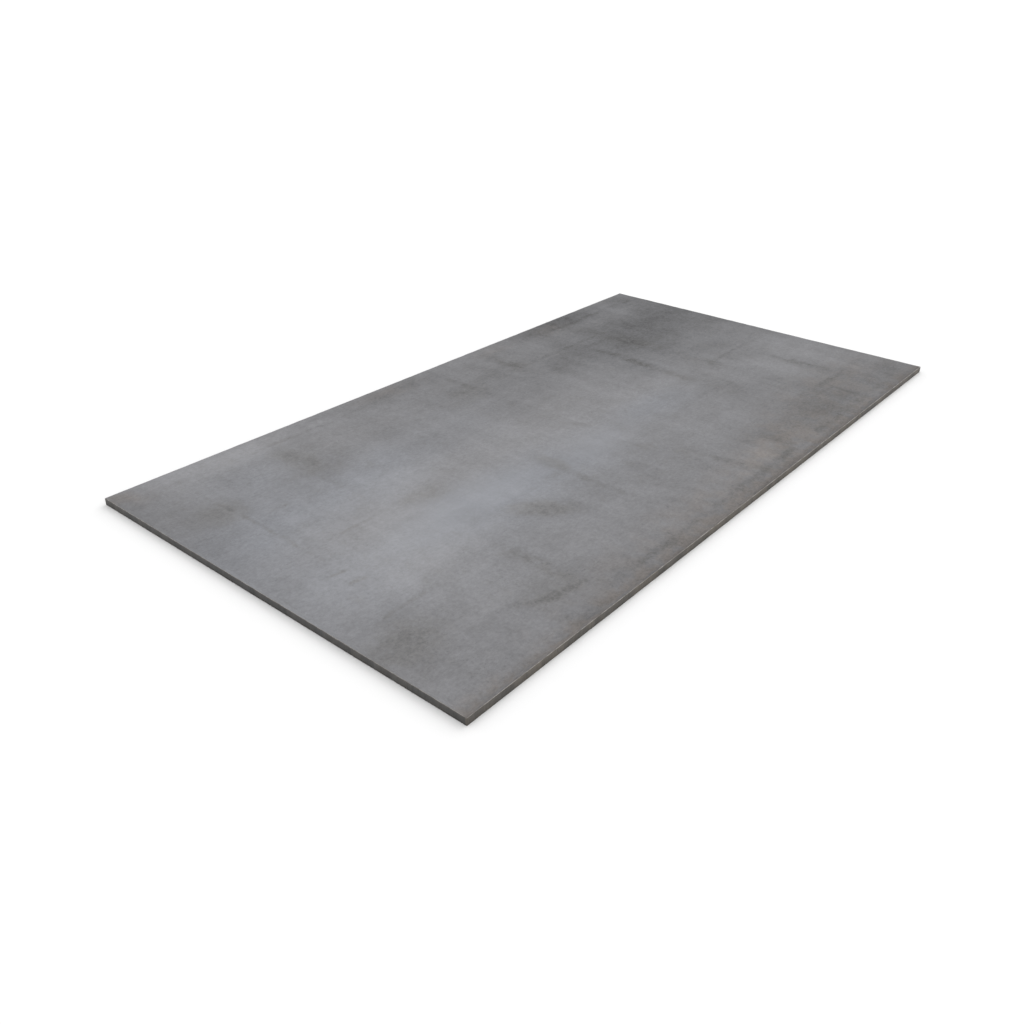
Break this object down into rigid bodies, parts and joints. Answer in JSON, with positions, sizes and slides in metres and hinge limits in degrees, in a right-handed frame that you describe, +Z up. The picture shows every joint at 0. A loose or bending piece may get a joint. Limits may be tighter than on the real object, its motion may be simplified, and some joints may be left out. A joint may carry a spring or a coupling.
{
  "type": "steel plate",
  "caption": "Flat rectangular plate of hot-rolled steel with cut, square edges and grey mill scale on its faces; raw stock to lay flat, cut, drill or weld.",
  "frame": {"origin": "middle of the underside, where the plate rests", "axes": "+X along the length, +Y across the width, +Z up through the thickness to the face that shows"},
  "size_m": [2.31, 1.25, 0.02],
  "materials": {
    "mill_scale": "hot-rolled grey mill scale with handling smears and a little rust; cut edges darker and browner"
  },
  "bodies": {
    "root": {"steel_plate": "mill_scale"}
  },
  "joints": []
}
